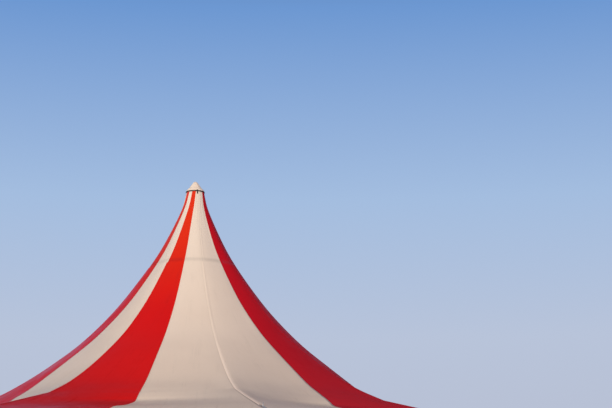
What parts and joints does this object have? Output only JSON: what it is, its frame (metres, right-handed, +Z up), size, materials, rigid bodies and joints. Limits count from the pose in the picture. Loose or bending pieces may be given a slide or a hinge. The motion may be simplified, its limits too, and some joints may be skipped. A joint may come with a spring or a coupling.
{
  "type": "circus big top tent",
  "caption": "Single-pole circus tent with a tall hollow-curved striped roof on ridges, a crown ring and cap, a hanging valance, side walls with an open doorway, side poles and guy ropes.",
  "frame": {"origin": "on the ground under the king pole, at the centre of the tent's bounding box", "axes": "+Z up along the king pole, -Y out through the entrance, +X to the right of someone who faces the entrance"},
  "size_m": [17.4, 17.4, 9.3433],
  "materials": {
    "red_membrane": "satin coated PVC membrane, welded seams",
    "white_membrane": "satin coated PVC membrane in warm white, welded seams",
    "black_steel": "black painted steel",
    "galvanised_steel": "dull galvanised steel",
    "guy_rope": "laid polyester rope and webbing with steel fittings"
  },
  "bodies": {
    "root": {"roof_gore_01_red": "red_membrane", "roof_gore_02_white": "white_membrane", "roof_gore_03_white": "white_membrane", "roof_gore_04_red": "red_membrane", "roof_gore_05_red": "red_membrane", "roof_gore_06_white": "white_membrane", "roof_gore_07_red": "red_membrane", "roof_gore_08_white": "white_membrane", "roof_gore_09_red": "red_membrane", "roof_gore_10_white": "white_membrane", "roof_gore_11_red": "red_membrane", "roof_gore_12_white": "white_membrane", "roof_gore_13_red": "red_membrane", "roof_gore_14_white": "white_membrane", "roof_gore_15_red": "red_membrane", "roof_gore_16_white": "white_membrane", "crown_cap": "white_membrane", "crown_ring": "black_steel", "king_pole": "galvanised_steel", "king_pole_base": "galvanised_steel", "side_pole_1": "galvanised_steel", "side_pole_2": "galvanised_steel", "side_pole_3": "galvanised_steel", "side_pole_4": "galvanised_steel", "side_pole_5": "galvanised_steel", "side_pole_6": "galvanised_steel", "side_pole_7": "galvanised_steel", "side_pole_8": "galvanised_steel", "guy_rope_1": "guy_rope", "guy_rope_2": "guy_rope", "guy_rope_3": "guy_rope", "guy_rope_4": "guy_rope", "guy_rope_5": "guy_rope", "guy_rope_6": "guy_rope", "guy_rope_7": "guy_rope", "guy_rope_8": "guy_rope", "side_wall_1": "white_membrane", "side_wall_2": "red_membrane", "side_wall_3": "white_membrane", "side_wall_4": "red_membrane", "side_wall_5": "white_membrane", "side_wall_6": "red_membrane", "side_wall_7": "white_membrane", "entrance_wall_left": "red_membrane", "entrance_wall_right": "red_membrane"}
  },
  "joints": []
}
